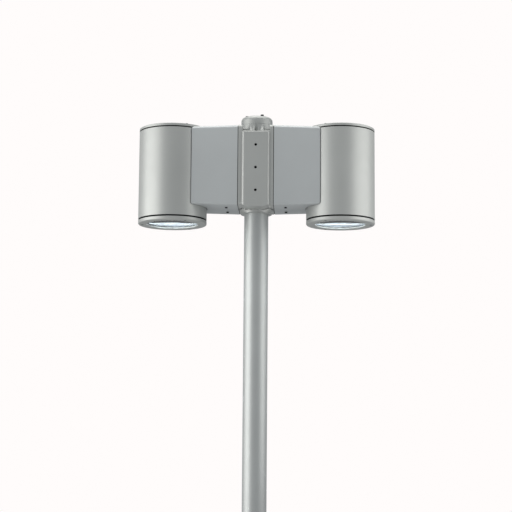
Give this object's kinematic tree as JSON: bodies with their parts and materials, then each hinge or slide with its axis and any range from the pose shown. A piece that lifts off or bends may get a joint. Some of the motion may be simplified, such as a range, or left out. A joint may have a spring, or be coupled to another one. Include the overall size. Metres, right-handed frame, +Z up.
{
  "type": "pole-top twin downlight",
  "caption": "Round lamp post on a bolted base plate, with two drum-shaped downlights on short tapered arms from a slip-over cast hub, lift-off lens frames, covers and cap.",
  "frame": {"origin": "centre of the base plate's underside, on the post axis", "axes": "+Z up along the post, arms along X, service door and set screws towards -Y"},
  "size_m": [0.746, 0.26, 2.836],
  "materials": {
    "powder_coat": "cast aluminium under silver-grey satin powder coat",
    "post_coat": "steel under silver-grey satin powder coat",
    "zinc_plate": "bright zinc plate",
    "box_plastic": "moulded",
    "stainless": "plain",
    "black_rubber": "matt",
    "black_steel": "black oxide",
    "terminal_plastic": "moulded",
    "gear_case": "moulded",
    "ceramic": "glazed ceramic",
    "lamp_glass": "clear quartz",
    "reflector_sheet": "bright anodised",
    "lens_glass": "clear toughened"
  },
  "bodies": {
    "post": {"base_plate": "post_coat", "base_weld": "post_coat", "post_tube": "post_coat", "door_backing": "zinc_plate", "equipment_rail": "zinc_plate", "fuse_box": "box_plastic", "earth_stud": "stainless", "post_grommet": "black_rubber"},
    "service_door": {"post_door": "post_coat", "door_screws": "stainless"},
    "luminaire": {"hub": "powder_coat", "set_screws": "black_steel", "terminal_block": "terminal_plastic", "cap_gasket": "black_rubber", "arm_left": "powder_coat", "arm_gasket_left": "black_rubber", "arm_bolts_left": "stainless", "arm_screws_left": "black_steel", "saddle_gasket_left": "black_rubber", "saddle_bolts_left": "stainless", "housing_left": "powder_coat", "gear_tray_left": "zinc_plate", "ballast_left": "gear_case", "lamp_holder_left": "ceramic", "lamp_left": "lamp_glass", "reflector_left": "reflector_sheet", "top_gasket_left": "black_rubber", "arm_right": "powder_coat", "arm_gasket_right": "black_rubber", "arm_bolts_right": "stainless", "arm_screws_right": "black_steel", "saddle_gasket_right": "black_rubber", "saddle_bolts_right": "stainless", "housing_right": "powder_coat", "gear_tray_right": "zinc_plate", "ballast_right": "gear_case", "lamp_holder_right": "ceramic", "lamp_right": "lamp_glass", "reflector_right": "reflector_sheet", "top_gasket_right": "black_rubber"},
    "cap": {"hub_cap": "powder_coat", "cap_screws": "black_steel"},
    "lens_left": {"lens_gasket_left": "black_rubber", "lens_frame_left": "powder_coat", "frame_screws_left": "black_steel", "glass_gasket_left": "black_rubber", "lens_glass_left": "lens_glass", "glass_clips_left": "stainless"},
    "cover_left": {"top_cover_left": "powder_coat", "cover_screws_left": "black_steel"},
    "lens_right": {"lens_gasket_right": "black_rubber", "lens_frame_right": "powder_coat", "frame_screws_right": "black_steel", "glass_gasket_right": "black_rubber", "lens_glass_right": "lens_glass", "glass_clips_right": "stainless"},
    "cover_right": {"top_cover_right": "powder_coat", "cover_screws_right": "black_steel"}
  },
  "joints": [
    {"name": "door_pull", "type": "slide", "parent": "post", "child": "service_door", "axis": [0, -1, 0], "range_m": [0, 0.06]},
    {"name": "luminaire_swivel", "type": "hinge", "parent": "post", "child": "luminaire", "pos_m": [0, 0, 2.5], "axis": [0, 0, 1], "range_deg": [-175, 175]},
    {"name": "cap_lift", "type": "slide", "parent": "luminaire", "child": "cap", "axis": [0, 0, 1], "range_m": [0, 0.06]},
    {"name": "lens_drop_left", "type": "slide", "parent": "luminaire", "child": "lens_left", "axis": [0, 0, -1], "range_m": [0, 0.12]},
    {"name": "cover_lift_left", "type": "slide", "parent": "luminaire", "child": "cover_left", "axis": [0, 0, 1], "range_m": [0, 0.06]},
    {"name": "lens_drop_right", "type": "slide", "parent": "luminaire", "child": "lens_right", "axis": [0, 0, -1], "range_m": [0, 0.12]},
    {"name": "cover_lift_right", "type": "slide", "parent": "luminaire", "child": "cover_right", "axis": [0, 0, 1], "range_m": [0, 0.06]}
  ]
}
